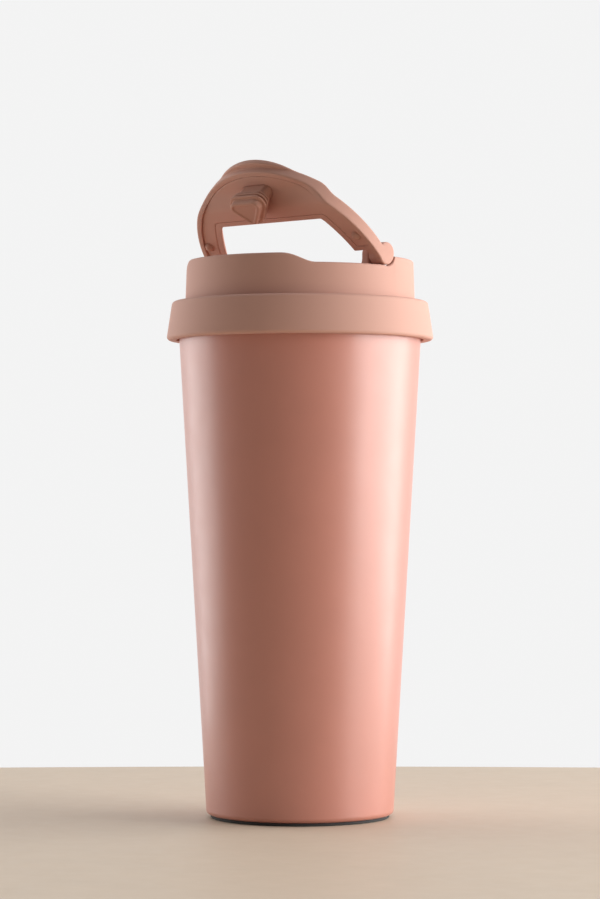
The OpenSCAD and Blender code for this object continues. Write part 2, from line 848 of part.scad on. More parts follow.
module click_nubs() {
    edge_gap = 0.2;                            // from the nub to the plate's outer edge
    u = sqrt(pow(plate_leg_r - nub_r - edge_gap, 2) - nub_v * nub_v);
    dome = 1.5;
    color(rose_soft)
        raised()
            both_sides()
                translate([u, -nub_v, plate_w - dome])
                    intersection() {
                        translate([0, 0, nub_r]) sphere(r = nub_r, $fn = small_fn);
                        cylinder(r = nub_r, h = dome, $fn = small_fn);
                    }
}

outer_shell();
inner_liner();
bottom_plate();
vacuum_seal();
getter();
radiation_foil();
foot_pad();
lid_gasket();
lid_collar();
lid_rim();
lid_plug();
lid_insulation();
vent_valve();
hinge_pin_left();
hinge_pin_right();
handle_shell();
handle_plate();
hinge_bush_left();
hinge_bush_right();
friction_washer_left();
friction_washer_right();
stopper();
stopper_core();
click_nubs();
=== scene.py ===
"""Insulated tumbler: the visible pieces, built around the packed CAD frame.

Every piece is made in millimetres and stored in metres, in the frame of the
CAD model: +Z up, -Y towards the drinking side, X along the hinge.
"""

import json
import math

import bmesh
import bpy
import numpy as np
from mathutils import Matrix, Vector


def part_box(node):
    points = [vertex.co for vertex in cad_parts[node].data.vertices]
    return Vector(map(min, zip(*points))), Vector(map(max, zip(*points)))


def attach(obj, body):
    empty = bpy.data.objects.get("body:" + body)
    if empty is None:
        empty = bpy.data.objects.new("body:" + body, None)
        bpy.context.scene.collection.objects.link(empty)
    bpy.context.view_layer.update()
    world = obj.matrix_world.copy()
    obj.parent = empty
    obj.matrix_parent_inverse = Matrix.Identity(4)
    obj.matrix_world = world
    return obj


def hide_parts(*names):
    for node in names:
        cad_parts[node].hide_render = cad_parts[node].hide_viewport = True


bl_info = {
    "name": "Insulated Tumbler",
    "version": (1, 0, 0),
    "blender": (4, 5, 0),
    "location": "View3D > Sidebar > Tumbler",
    "description": "Builds the visible pieces of an insulated tumbler around its CAD frame",
    "category": "Object",
}

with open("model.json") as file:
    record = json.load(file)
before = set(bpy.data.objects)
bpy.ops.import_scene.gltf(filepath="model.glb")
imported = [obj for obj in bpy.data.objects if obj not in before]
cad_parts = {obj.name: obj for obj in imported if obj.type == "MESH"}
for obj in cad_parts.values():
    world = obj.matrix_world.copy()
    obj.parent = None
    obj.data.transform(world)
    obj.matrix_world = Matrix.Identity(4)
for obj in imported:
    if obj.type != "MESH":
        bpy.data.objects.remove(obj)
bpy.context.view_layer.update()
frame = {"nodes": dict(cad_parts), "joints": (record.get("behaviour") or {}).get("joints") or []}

MM = 0.001
ROUND_STEPS = 192       # points round the vessel and the lid
EDGE_STEPS = 8          # points along a rounded edge
SHARP_ANGLE = math.radians(38)


def cad_low(node, axis):
    """Lowest place of a CAD node along an axis, in millimetres."""
    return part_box(node)[0][axis] / MM


def cad_high(node, axis):
    """Highest place of a CAD node along an axis, in millimetres."""
    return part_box(node)[1][axis] / MM


FLIP = next(j for j in frame["joints"] if j["name"] == "handle_flip")
HINGE_Z = FLIP["pos_m"][2] / MM
RAISED = math.radians(-FLIP["range_deg"][0])


# ---- sizes and colours that a user would change ----


def length(name, text, value):
    """A length property, given in millimetres."""
    return bpy.props.FloatProperty(
        name=name, description=text, default=value * MM, unit="LENGTH", precision=5
    )


def colour(name, text, value):
    """A colour property."""
    return bpy.props.FloatVectorProperty(
        name=name, description=text, default=value, size=3, subtype="COLOR", min=0, max=1
    )


class TumblerVesselSizes(bpy.types.PropertyGroup):
    """Sizes of the steel vessel and its foot pad."""

    foot_r: length("Foot radius", "Radius of the shell at the table plane", 32.8)
    mouth_r: length("Mouth radius", "Radius of the shell at its top edge",
                    cad_high("outer_shell", 0))
    foot_edge: length("Foot edge", "Corner radius under the foot", 1.8)
    flange: length("Foot flange", "Width of the turned-in edge under the foot", 3.2)
    wall: length("Shell wall", "Sheet thickness of the shell", 0.5)
    pad_groove: length("Pad groove", "Depth of the grooves under the foot pad", 0.35)


class TumblerLidSizes(bpy.types.PropertyGroup):
    """Sizes of the collar, the rim, the deck and the plug."""

    collar_edge: length("Collar edge", "Edge radius of the collar", 1.2)
    collar_top_r: length("Collar top radius", "Radius of the collar at its top edge", 45.1)
    collar_in: length("Collar inside", "Inner radius of the collar", 43.4)
    rim_wall: length("Rim wall", "Thickness of the rim", 2.6)
    rim_draft: length("Rim draft", "How much the rim narrows from bottom to top", 0.4)
    rim_edge: length("Rim edge", "Edge radius on top of the rim", 0.75)
    rim_step: length("Rim step", "Drop of the rim beside the hinge", 3.2)
    rim_h: length("Rim height", "Height of the rim above the collar", 14.2)
    ramp_start: length("Ramp start", "Distance from the hinge where the rim starts to climb", 25.9)
    ramp_end: length("Ramp end", "Distance from the hinge where the rim is high again", 33.65)
    notch_r: length("Notch radius", "Radius of the notch round a hinge boss", 4.25)
    deck_drop: length("Deck depth", "Depth of the deck below the rim", 7.4)
    deck_t: length("Deck thickness", "Thickness of the deck", 2.4)
    plug_r: length("Plug radius", "Outer radius of the plug under its thread", 38.64)
    thread_h: length("Thread height", "Height of the thread ridges", 1.1)
    thread_lead: length("Thread lead", "Rise of the thread in one turn", 12.0)


class TumblerHandleSizes(bpy.types.PropertyGroup):
    """Sizes of the flip handle and its stopper."""

    handle_r: length("Handle radius", "Outer radius of the handle", cad_high("handle_shell", 0))
    top_edge: length("Top edge", "Edge radius on top of the handle", 0.8)
    low_edge: length("Low edge", "Edge radius below the handle", 0.45)
    boss_r: length("Boss radius", "Radius of the hinge boss", 3.9)
    tab_reach: length("Tab reach", "How far the thumb tab stands out", 2.2)
    plate_edge: length("Plate edge", "Edge radius of the inner plate", 0.12)
    tip_edge: length("Tip edge", "Edge radius of the stopper's tip", 0.7)
    cell: length("Mesh size", "Size of the mesh on moulded pieces", 0.3)


class TumblerColours(bpy.types.PropertyGroup):
    """Colours of the finishes."""

    paint: colour("Paint", "Powder coat on the shell", (0.60, 0.235, 0.175))
    lid: colour("Lid", "Moulded lid", (0.53, 0.245, 0.185))
    collar: colour("Collar", "Moulded collar", (0.56, 0.265, 0.20))
    # Darker than the lid plastic: the handle's tone, darkened further as painted shade for its
    # underside
    handle: colour("Handle", "Moulded handle", (0.47, 0.175, 0.120))
    silicone: colour("Silicone", "Stopper, gasket and nubs", (0.56, 0.245, 0.18))
    inner: colour("Inner plastic", "Plug under the lid", (0.60, 0.33, 0.26))
    # Near-black: the pad's dark silicone, darkened further as painted shadow for the line under the
    # foot
    pad: colour("Foot pad", "Dark silicone under the foot", (0.022, 0.020, 0.020))
    steel: colour("Steel", "Bare steel", (0.60, 0.60, 0.61))
    floor: colour("Floor", "Floor under the tumbler", (0.66, 0.54, 0.42))


SETTINGS = {
    "tumbler_vessel": TumblerVesselSizes,
    "tumbler_lid": TumblerLidSizes,
    "tumbler_handle": TumblerHandleSizes,
    "tumbler_colours": TumblerColours,
}


class Sizes:
    """A property group's lengths, read in millimetres."""

    def __init__(self, group):
        self.group = group

    def __getattr__(self, name):
        return getattr(self.group, name) / MM


# ---- mesh tools ----


def ease(t):
    """A soft step from 0 to 1."""
    return (1 - np.cos(np.pi * np.clip(t, 0, 1))) / 2


def ease_slope(t):
    """Slope of the soft step."""
    return np.where((t > 0) & (t < 1), np.pi / 2 * np.sin(np.pi * np.clip(t, 0, 1)), 0)


def arc(cx, cy, r, start, end, steps=EDGE_STEPS):
    """Points of an arc, with its angles in degrees."""
    turns = [math.radians(start + (end - start) * i / steps) for i in range(steps + 1)]
    return [(cx + r * math.cos(t), cy + r * math.sin(t)) for t in turns]


def add_piece(name, points, faces, body, finish, replaces=(), sharp=SHARP_ANGLE):
    """Makes a piece from points in millimetres and hangs it on its body."""
    mesh = bpy.data.meshes.new(name)
    mesh.from_pydata([tuple(float(c) * MM for c in p) for p in points], [], faces)
    bm = bmesh.new()
    bm.from_mesh(mesh)
    bmesh.ops.remove_doubles(bm, verts=bm.verts, dist=1e-7)
    bmesh.ops.recalc_face_normals(bm, faces=bm.faces)
    for face in bm.faces:
        face.smooth = True
    for edge in bm.edges:
        edge.smooth = len(edge.link_faces) == 2 and edge.calc_face_angle() < sharp
    bm.to_mesh(mesh)
    bm.free()
    piece = bpy.data.objects.new(name, mesh)
    bpy.context.scene.collection.objects.link(piece)
    mesh.materials.append(finish)
    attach(piece, body)
    if replaces:
        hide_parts(*replaces)
    return piece


def ring_grid(sections):
    """Points and faces of closed sections that follow each other round a ring."""
    count, size = len(sections), len(sections[0])
    points = [p for section in sections for p in section]
    faces = [
        (i * size + k, i * size + (k + 1) % size,
         (i + 1) % count * size + (k + 1) % size, (i + 1) % count * size + k)
        for i in range(count) for k in range(size)
    ]
    return points, faces


def turned(profile, steps=ROUND_STEPS, centre=(0, 0)):
    """A closed (radius, height) profile turned round a vertical axis."""
    sections = []
    for i in range(steps):
        a = 2 * math.pi * i / steps
        sections.append(
            [(centre[0] + r * math.cos(a), centre[1] + r * math.sin(a), z) for r, z in profile]
        )
    return ring_grid(sections)


def flat_plate(outlines, low, high, edge, steps=3):
    """A flat plate with holes and rounded edges: points and faces, between two heights."""
    curve = bpy.data.curves.new("outline", "CURVE")
    curve.dimensions = "2D"
    curve.fill_mode = "BOTH"
    curve.extrude = (high - low) / 2 - edge
    curve.bevel_depth = edge
    curve.bevel_resolution = steps
    curve.offset = -edge
    for outline in outlines:
        spline = curve.splines.new("POLY")
        spline.points.add(len(outline) - 1)
        for point, (x, y) in zip(spline.points, outline):
            point.co = (x, y, 0, 1)
        spline.use_cyclic_u = True
    holder = bpy.data.objects.new("outline", curve)
    bpy.context.scene.collection.objects.link(holder)
    graph = bpy.context.evaluated_depsgraph_get()
    mesh = bpy.data.meshes.new_from_object(holder.evaluated_get(graph))
    middle = (low + high) / 2
    points = [(v.co.x, v.co.y, v.co.z + middle) for v in mesh.vertices]
    faces = [tuple(p.vertices) for p in mesh.polygons]
    bpy.data.objects.remove(holder)
    bpy.data.curves.remove(curve)
    bpy.data.meshes.remove(mesh)
    return points, faces


def pull_onto(shape, points, reach, rounds=3):
    """Moves points onto the surface of a shape."""
    step = 0.02
    for _ in range(rounds):
        x, y, z = points.T
        value = shape(x, y, z)
        slope = np.stack([
            shape(x + step, y, z) - shape(x - step, y, z),
            shape(x, y + step, z) - shape(x, y - step, z),
            shape(x, y, z + step) - shape(x, y, z - step),
        ], axis=1) / (2 * step)
        steep = np.maximum((slope ** 2).sum(1), 0.05)
        points = points - slope * np.clip(value / steep, -reach, reach)[:, None]
    return points


def moulded(shape, low, high, cell):
    """Points and faces of a moulded piece. The shape is negative inside the material."""
    axes = [np.arange(a - 2 * cell, b + 3 * cell, cell) for a, b in zip(low, high)]
    value = shape(*np.meshgrid(*axes, indexing="ij"))
    cells = tuple(n - 1 for n in value.shape)
    total, count, quads = np.zeros(cells + (3,)), np.zeros(cells), []
    for axis in range(3):
        before = [slice(None)] * 3
        after = [slice(None)] * 3
        before[axis], after[axis] = slice(0, -1), slice(1, None)
        a, b = value[tuple(before)], value[tuple(after)]
        at = np.stack(np.nonzero((a < 0) != (b < 0)), axis=1)
        va, vb = a[tuple(at.T)], b[tuple(at.T)]
        place = at.astype(float)
        place[:, axis] += va / (va - vb)
        one, two = (axis + 1) % 3, (axis + 2) % 3
        corners = []
        for d_one, d_two in ((0, 0), (-1, 0), (-1, -1), (0, -1)):
            home = at.copy()
            home[:, one] += d_one
            home[:, two] += d_two
            np.add.at(total, tuple(home.T), place)
            np.add.at(count, tuple(home.T), 1)
            corners.append(np.ravel_multi_index(tuple(home.T), cells))
        quad = np.stack(corners, axis=1)
        quad[va > 0] = quad[va > 0][:, ::-1]
        quads.append(quad)
    quads = np.concatenate(quads)
    used = np.flatnonzero(count.ravel())
    points = total.reshape(-1, 3)[used] / count.ravel()[used][:, None]
    points = points * cell + np.array([axis[0] for axis in axes])
    number = np.full(count.size, -1)
    number[used] = np.arange(len(used))
    quads = number[quads]
    points = pull_onto(shape, points, cell / 2)
    for _ in range(2):
        near, weight = np.zeros_like(points), np.zeros(len(points))
        for k in range(4):
            for other in ((k + 1) % 4, (k + 3) % 4):
                np.add.at(near, quads[:, k], points[quads[:, other]])
                np.add.at(weight, quads[:, k], 1)
        points = pull_onto(shape, (points + near / weight[:, None]) / 2, cell / 2)
    return points, [tuple(int(i) for i in quad) for quad in quads]


def inside_both(a, b, edge):
    """What lies inside two shapes, with a rounded edge."""
    return np.minimum(-edge, np.maximum(a, b)) + np.hypot(
        np.maximum(a + edge, 0), np.maximum(b + edge, 0)
    )


def inside_either(a, b, fillet):
    """Two shapes joined, with a fillet between them."""
    return np.maximum(fillet, np.minimum(a, b)) - np.hypot(
        np.maximum(fillet - a, 0), np.maximum(fillet - b, 0)
    )


def raised(points):
    """Points of the closed handle, moved to its raised place.

    They are given as (along the hinge, towards the drinking side, up).
    """
    s, c = math.sin(RAISED), math.cos(RAISED)
    return [(u, w * s - v * c, HINGE_Z + v * s + w * c) for u, v, w in points]


# ---- finishes ----


def wire(tree, source, target):
    """Joins two node sockets."""
    tree.links.new(source, target)


def speckle(tree, place, size, detail=2.0, stretch=(1, 1, 1)):
    """A noise whose grains are about this size in millimetres."""
    mapping = tree.nodes.new("ShaderNodeMapping")
    mapping.inputs["Scale"].default_value = stretch
    wire(tree, place, mapping.inputs["Vector"])
    noise = tree.nodes.new("ShaderNodeTexNoise")
    noise.inputs["Scale"].default_value = 1 / (size * MM)
    noise.inputs["Detail"].default_value = detail
    wire(tree, mapping.outputs["Vector"], noise.inputs["Vector"])
    return noise.outputs["Fac"]


def between(tree, source, low, high):
    """Spreads a noise between two numbers."""
    spread = tree.nodes.new("ShaderNodeMapRange")
    spread.inputs["From Min"].default_value = 0.3
    spread.inputs["From Max"].default_value = 0.7
    spread.inputs["To Min"].default_value = low
    spread.inputs["To Max"].default_value = high
    wire(tree, source, spread.inputs["Value"])
    return spread.outputs["Result"]


def tinted(tree, source, shade, amount):
    """Varies a colour a little along a noise."""
    mix = tree.nodes.new("ShaderNodeMix")
    mix.data_type = "RGBA"
    dark = [c * (1 - amount) for c in shade]
    light = [min(1, c * (1 + amount)) for c in shade]
    mix.inputs[6].default_value = (*dark, 1)
    mix.inputs[7].default_value = (*light, 1)
    wire(tree, between(tree, source, 0, 1), mix.inputs[0])
    return mix.outputs[2]


def raised_grain(tree, layers):
    """Bump from several noises, each with its height in millimetres."""
    normal = None
    for source, height in layers:
        bump = tree.nodes.new("ShaderNodeBump")
        bump.inputs["Strength"].default_value = 1.0
        bump.inputs["Distance"].default_value = height * MM
        wire(tree, source, bump.inputs["Height"])
        if normal is not None:
            wire(tree, normal, bump.inputs["Normal"])
        normal = bump.outputs["Normal"]
    return normal


def finish_of(name, shade, rough, tint, grains, stretch=(1, 1, 1), **sockets):
    """A procedural finish: tinted colour, uneven gloss and a fine grain.

    grains lists (size, height) of the surface grain in millimetres, and
    sockets holds the shader's constant values by name.
    """
    material = bpy.data.materials.get(name)
    if material is not None:
        return material
    material = bpy.data.materials.new(name)
    material.use_nodes = True
    material.diffuse_color = (*shade, 1)
    tree = material.node_tree
    shader = tree.nodes["Principled BSDF"]
    place = tree.nodes.new("ShaderNodeTexCoord").outputs["Object"]
    patches = speckle(tree, place, 18, 3, stretch)
    wire(tree, tinted(tree, patches, shade, tint), shader.inputs["Base Color"])
    smudges = speckle(tree, place, 7, 4, stretch)
    wire(tree, between(tree, smudges, rough[0], rough[1]), shader.inputs["Roughness"])
    layers = [(speckle(tree, place, size, 2, stretch), height) for size, height in grains]
    wire(tree, raised_grain(tree, layers), shader.inputs["Normal"])
    for socket, value in sockets.items():
        shader.inputs[socket.replace("_", " ")].default_value = value
    return material


def paint_finish(colours):
    return finish_of(
        "powder_coat", colours.paint, (0.38, 0.44), 0.02, [(0.9, 0.006), (0.25, 0.002)],
        Specular_IOR_Level=0.95, Coat_Weight=0.35, Coat_Roughness=0.32,
    )


def lid_finish(colours):
    return finish_of(
        "lid_plastic", colours.lid, (0.46, 0.54), 0.025, [(0.35, 0.005), (2.5, 0.01)],
        Specular_IOR_Level=0.8, Subsurface_Weight=0.04, Subsurface_Scale=0.002,
    )


def collar_finish(colours):
    return finish_of(
        "collar_plastic", colours.collar, (0.50, 0.58), 0.025, [(0.3, 0.009), (2.5, 0.01)],
        Specular_IOR_Level=0.8, Subsurface_Weight=0.04, Subsurface_Scale=0.002,
    )


# Handle plastic: its colour carries painted shade for the handle's underside
def handle_and_shade_finish(colours):
    return finish_of(
        "handle_plastic", colours.handle, (0.42, 0.50), 0.025, [(0.35, 0.004), (3.0, 0.012)],
        Specular_IOR_Level=0.4, Subsurface_Weight=0.04, Subsurface_Scale=0.002,
    )


def silicone_finish(colours):
    return finish_of(
        "rose_silicone", colours.silicone, (0.36, 0.46), 0.03, [(0.5, 0.006), (3.0, 0.02)],
        Specular_IOR_Level=0.5, Subsurface_Weight=0.12, Subsurface_Scale=0.003,
        Sheen_Weight=0.15, Sheen_Roughness=0.4,
    )


def inner_finish(colours):
    return finish_of(
        "inner_plastic", colours.inner, (0.34, 0.42), 0.02, [(0.6, 0.003), (4.0, 0.02)],
        Specular_IOR_Level=0.5,
    )


# Foot pad: dark silicone whose colour also carries the painted shadow under the foot
def pad_and_shadow_finish(colours):
    return finish_of(
        "dark_silicone", colours.pad, (0.55, 0.68), 0.08, [(0.4, 0.01), (3.0, 0.02)],
        Specular_IOR_Level=0.2,
    )


def steel_finish(colours):
    return finish_of(
        "turned_steel", colours.steel, (0.22, 0.36), 0.04, [(6.0, 0.004)],
        stretch=(1, 1, 40), Metallic=1.0,
    )


def copper_finish(_):
    return finish_of(
        "rolled_foil", (0.72, 0.42, 0.28), (0.2, 0.4), 0.06,
        [(5.0, 0.08), (0.8, 0.01)], Metallic=1.0,
    )


def getter_finish(_):
    return finish_of(
        "sintered_metal", (0.20, 0.20, 0.21), (0.6, 0.8), 0.15, [(0.4, 0.03)], Metallic=0.8,
    )


def nylon_finish(_):
    return finish_of("nylon", (0.09, 0.09, 0.09), (0.4, 0.5), 0.06, [(0.5, 0.004)])


def foam_finish(_):
    return finish_of("insulating_foam", (0.88, 0.87, 0.84), (0.85, 0.95), 0.04, [(0.9, 0.08)])


CAD_FINISHES = {
    "inner_liner": steel_finish,
    "bottom_plate": steel_finish,
    "vacuum_seal": steel_finish,
    "hinge_pin_left": steel_finish,
    "hinge_pin_right": steel_finish,
    "radiation_foil": copper_finish,
    "getter": getter_finish,
    "lid_insulation": foam_finish,
    "stopper_core": inner_finish,
    "hinge_bush_left": nylon_finish,
    "hinge_bush_right": nylon_finish,
    "friction_washer_left": nylon_finish,
    "friction_washer_right": nylon_finish,
}


# ---- pieces ----


def build_shell(vessel, colours):
    """The painted shell, turned in under the foot."""
    low, top = cad_low("outer_shell", 2), cad_high("outer_shell", 2)
    slope = (vessel.mouth_r - vessel.foot_r) / top
    edge_z = low + vessel.foot_edge
    edge_x = vessel.foot_r + slope * edge_z - vessel.foot_edge
    inner = vessel.foot_edge - vessel.wall
    bands = 10
    wall = [
        (vessel.foot_r + slope * z, z)
        for z in (edge_z + (top - edge_z) * i / bands for i in range(1, bands + 1))
    ]
    profile = (
        [(edge_x - vessel.flange, low)]
        + arc(edge_x, edge_z, vessel.foot_edge, -90, 0, 12)
        + wall
        + [(vessel.mouth_r - vessel.wall, top)]
        + arc(edge_x, edge_z, inner, 0, -90)
        + [(edge_x - vessel.flange, low + vessel.wall)]
    )
    points, faces = turned(profile)
    add_piece("shell_painted", points, faces, "vessel",
              paint_finish(colours), ["outer_shell"])


def build_foot_pad(vessel, colours):
    """The silicone pad under the foot, with two grooves on its underside."""
    pad_r, top = cad_high("foot_pad", 0), cad_high("foot_pad", 2)
    raised_r = vessel.foot_r - vessel.foot_edge - vessel.flange
    seal_r = cad_high("vacuum_seal", 0)
    edge, depth, step_z = 0.35, vessel.pad_groove, cad_low("outer_shell", 2)
    underside = [(0.01, 0)]
    for r in (0.45 * pad_r, 0.8 * pad_r):
        underside += [(r - 1.6, 0), (r - 1.2, depth), (r + 1.2, depth), (r + 1.6, 0)]
    profile = (
        underside
        + arc(pad_r - edge, edge, edge, -90, 0, 4)
        + arc(pad_r - 0.15, step_z - 0.16, 0.15, 0, 90, 3)
        + [(raised_r, step_z - 0.01), (raised_r - 0.1, top - 0.02),
           (seal_r + 0.3, top - 0.02), (seal_r + 0.3, step_z - 0.01), (0.01, step_z - 0.01)]
    )
    points, faces = turned(profile)
    add_piece("pad_under_foot", points, faces, "vessel",
              pad_and_shadow_finish(colours), ["foot_pad"])


def build_gasket(lid, colours):
    """The silicone gasket, with a soft bead on its outer edge."""
    low, top = cad_low("lid_gasket", 2), cad_high("lid_gasket", 2)
    out, bead = cad_high("lid_gasket", 0), (top - low) / 2
    profile = [(lid.plug_r + 0.1, low)] + arc(out - bead, low + bead, bead, -90, 90, 10)
    profile += [(lid.plug_r + 0.1, top)]
    points, faces = turned(profile)
    add_piece("gasket_ring", points, faces, "gasket",
              silicone_finish(colours), ["lid_gasket"])


def build_collar(lid, colours):
    """The wide collar with rounded edges."""
    low, top = cad_low("lid_collar", 2), cad_high("lid_collar", 2)
    out, r = cad_high("lid_collar", 0), lid.collar_edge
    web_z = cad_high("lid_gasket", 2) + 1.2
    rim_in = cad_high("lid_rim", 0) - lid.rim_draft - lid.rim_wall
    bead = 0.35
    profile = (
        arc(lid.collar_in + bead, low + bead, bead, 180, 270, 4)
        + arc(out - r, low + r, r, -90, 4, 12)
        + arc(lid.collar_top_r - r, top - r, r, 4, 90, 12)
        + [(rim_in + 0.2, top), (rim_in + 0.2, web_z)]
        + arc(lid.collar_in - 0.6, web_z - 0.6, 0.6, 90, 0, 4)
    )
    points, faces = turned(profile)
    add_piece("collar_ring", points, faces, "lid",
              collar_finish(colours), ["lid_collar"])


def rim_height(lid, y):
    """Height of the rim's top edge at a distance from the hinge axis."""
    top = HINGE_Z - 0.8

    def cut(y):
        climb = ease((-y - lid.ramp_start) / (lid.ramp_end - lid.ramp_start))
        edge = np.where(y > 0, top, top - lid.rim_step * (1 - climb))
        bow = np.sqrt(np.maximum(lid.notch_r ** 2 - y ** 2, 0))
        return np.where(np.abs(y) < lid.notch_r, np.minimum(edge, HINGE_Z - bow), edge)

    spread = np.linspace(-0.22, 0.22, 9)
    return np.mean([cut(y + s) for s in spread], axis=0)


def rim_angles(radius):
    """Angles round the rim, closer together at the hinge notches."""
    angles = set(np.linspace(0, 360, ROUND_STEPS, endpoint=False))
    for y in np.concatenate([np.arange(-3, 3.6, 0.3), np.arange(3.6, 4.9, 0.06)]):
        a = math.degrees(math.asin(y / radius))
        angles |= {a % 360, (180 - a) % 360}
    kept = []
    for a in sorted(angles):
        if not kept or a - kept[-1] > 0.06:
            kept.append(a)
    return kept


def build_rim(lid, colours):
    """The rim, with its lowered sides, soft ramps and hinge notches."""
    low = cad_high("lid_collar", 2)
    out = cad_high("lid_rim", 0)
    top_r = out - lid.rim_draft
    inner = top_r - lid.rim_wall
    deck = HINGE_Z - 0.8 - lid.deck_drop
    edge, fillet = lid.rim_edge, 1.0
    sections = []
    for a in rim_angles(top_r):
        s, c = math.sin(math.radians(a)), math.cos(math.radians(a))
        top = float(rim_height(lid, np.array(s * (out + inner) / 2)))
        section = [(inner, low), (out, low)]
        section += [(out - lid.rim_draft * k / 3, low + (top - edge - low) * k / 3) for k in (1, 2)]
        section += arc(top_r - edge, top - edge, edge, 0, 90)
        section += arc(inner + edge, top - edge, edge, 90, 180)
        section += arc(inner - fillet, deck + fillet, fillet, 0, -90, 6)
        section += [(inner - fillet, deck - 0.5), (inner, deck - 1.5)]
        placed = []
        for r, z in section:
            if z > deck + fillet + 0.1:
                z += float(rim_height(lid, np.array(r * s))) - top
            placed.append((r * c, r * s, z))
        sections.append(placed)
    points, faces = ring_grid(sections)
    add_piece("rim_ring", points, faces, "lid", lid_finish(colours), ["lid_rim"])


# Sip opening: a triangle with round corners, as (x, distance from the hinge)
SIP_CENTRES = ((4.1, 31.4), (-4.1, 31.4), (0.0, 26.6))
SIP_CORNER = 3.0


def sip_outline(grow=0.0, steps=12):
    """Outline of the sip opening, seen from above."""
    r = SIP_CORNER + grow
    turn = math.degrees(math.atan2(SIP_CENTRES[0][1] - SIP_CENTRES[2][1], SIP_CENTRES[0][0]))
    (x0, v0), (x1, v1), (x2, v2) = SIP_CENTRES
    return (
        arc(x0, -v0, r, -90, 90 - turn, steps)
        + arc(x2, -v2, r, 90 - turn, 90 + turn, steps)
        + arc(x1, -v1, r, 90 + turn, 270, steps)
    )


def build_deck(lid, colours):
    """The deck inside the rim, with the sip opening and the vent hole."""
    deck = HINGE_Z - 0.8 - lid.deck_drop
    inner = cad_high("lid_rim", 0) - lid.rim_draft - lid.rim_wall
    vent_y = (cad_low("vent_valve", 1) + cad_high("vent_valve", 1)) / 2
    outlines = [
        arc(0, 0, inner - 0.3, 0, 360 * (1 - 1 / ROUND_STEPS), ROUND_STEPS - 1),
        sip_outline(),
        arc(0, vent_y, 1.7, 0, 350, 35),
    ]
    points, faces = flat_plate(outlines, deck - lid.deck_t, deck, 0.4, 4)
    add_piece("deck_plate", points, faces, "lid", lid_finish(colours))
    channel = [(x, y, z) for z in (cad_low("lid_plug", 2), deck - lid.deck_t + 0.2)
               for x, y in sip_outline(0.02)]
    count = len(channel) // 2
    walls = [(i, (i + 1) % count, count + (i + 1) % count, count + i) for i in range(count)]
    add_piece("sip_channel_wall", channel, walls, "lid", inner_finish(colours))


def build_ears(lid, colours):
    """The two hinge ears, with feet that widen into the deck."""
    deck = HINGE_Z - 0.8 - lid.deck_drop
    head = cad_low("hinge_pin_right", 0) - 0.2
    thick, r, flare, edge = 3.0, 2.9, 4.6, 0.45
    half_box, side_gap = 9.2, 1.6

    def shape(x, y, z):
        foot = r + flare * np.clip(1 - (z - deck) / (HINGE_Z - 1 - deck), 0, 1) ** 2
        cheek = inside_both(np.abs(y) - foot, z - HINGE_Z, 0.01)
        disc = np.hypot(y, z - HINGE_Z) - r
        side = np.minimum(cheek, disc)
        wall = np.abs(x - head - thick / 2) - thick / 2
        ear = inside_both(side, wall, edge)
        ground = z - deck + 0.15
        return np.maximum(inside_either(ear, ground, 0.9), deck - 0.6 - z)

    def clipped(x, y, z):
        near = np.maximum(np.abs(y) - half_box, np.abs(x - head - thick / 2) - 2 * side_gap)
        return np.maximum(shape(x, y, z), near)

    points, faces = moulded(clipped, (head - side_gap, -9.1, deck - 0.6),
                            (head + thick + side_gap, 9.1, HINGE_Z + r), 0.3)
    for side, name in ((1, "right"), (-1, "left")):
        placed = [(side * x, y, z) for x, y, z in points]
        add_piece(f"hinge_ear_{name}", placed, faces, "lid", lid_finish(colours))


def build_vent_valve(colours):
    """The small silicone vent valve with a cross slit."""
    low, top = cad_low("vent_valve", 2), cad_high("vent_valve", 2)
    centre = (cad_low("vent_valve", 1) + cad_high("vent_valve", 1)) / 2
    deck = top - 0.8

    def shape(x, y, z):
        r = np.hypot(x, y - centre)
        cap = inside_both(r - 3.4 + 0.8 * np.clip((z - deck) / 0.8, 0, 1),
                          inside_both(z - top + 0.02 * r ** 2, deck - z, 0.05), 0.3)
        stem = np.maximum(r - 1.55, np.maximum(low - z, z - top))
        slit = np.minimum(np.maximum(np.abs(x) - 0.14, np.abs(y - centre) - 1.5),
                          np.maximum(np.abs(y - centre) - 0.14, np.abs(x) - 1.5))
        return np.maximum(np.minimum(cap, stem), -np.maximum(slit, top - 0.5 - z))

    points, faces = moulded(shape, (-3.5, centre - 3.5, low), (3.5, centre + 3.5, top), 0.14)
    add_piece("vent_flap", points, faces, "lid", silicone_finish(colours),
              ["vent_valve"])


